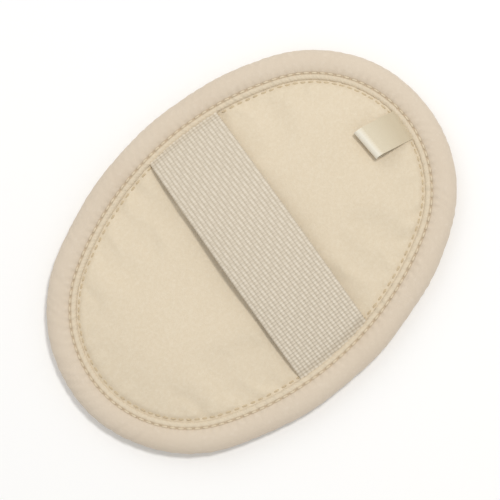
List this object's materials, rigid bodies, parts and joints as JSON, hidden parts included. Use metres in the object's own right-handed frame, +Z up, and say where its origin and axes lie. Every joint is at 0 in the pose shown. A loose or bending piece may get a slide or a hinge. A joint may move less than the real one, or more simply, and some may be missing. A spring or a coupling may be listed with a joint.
{
  "type": "loofah scrub pad",
  "caption": "Oval hand-held loofah scrub pad with padded cloth backing, rolled fabric edge binding, elastic hand strap across the back and a folded tape hanging loop at one end.",
  "frame": {"origin": "on the ground, under the middle of the pad, which lies loofah side down", "axes": "+X along the long axis towards the hanging loop, +Y across the pad along the strap, +Z up out of the strap side"},
  "size_m": [0.15, 0.107, 0.019],
  "materials": {
    "loofah": "natural dried loofah fibre, rough and porous",
    "foam": "soft open foam padding, hidden inside",
    "backing": "brushed cream cotton cloth",
    "binding": "matt beige cotton strip",
    "thread": "twisted sewing thread",
    "elastic": "ribbed woven elastic webbing",
    "tape": "smooth cotton tape with a slight sheen"
  },
  "bodies": {
    "pad": {"loofah_face": "loofah", "foam_core": "foam", "backing_cloth": "backing", "edge_binding": "binding", "binding_thread_back": "thread", "binding_thread_face": "thread", "layer_seam_thread": "thread", "strap_end_left": "elastic", "strap_end_right": "elastic", "loop_tail": "tape"},
    "strap": {"elastic_strap": "elastic"},
    "loop": {"hanging_loop": "tape"}
  },
  "joints": [
    {"name": "strap_lift", "type": "slide", "parent": "pad", "child": "strap", "axis": [0, 0, 1], "range_m": [0, 0.025], "stiffness_N_per_m": 150},
    {"name": "loop_flip", "type": "hinge", "parent": "pad", "child": "loop", "pos_m": [0.0626, -0.0044, 0.0086], "axis": [0.2079, 0.9781, 0], "range_deg": [0, 105]}
  ]
}
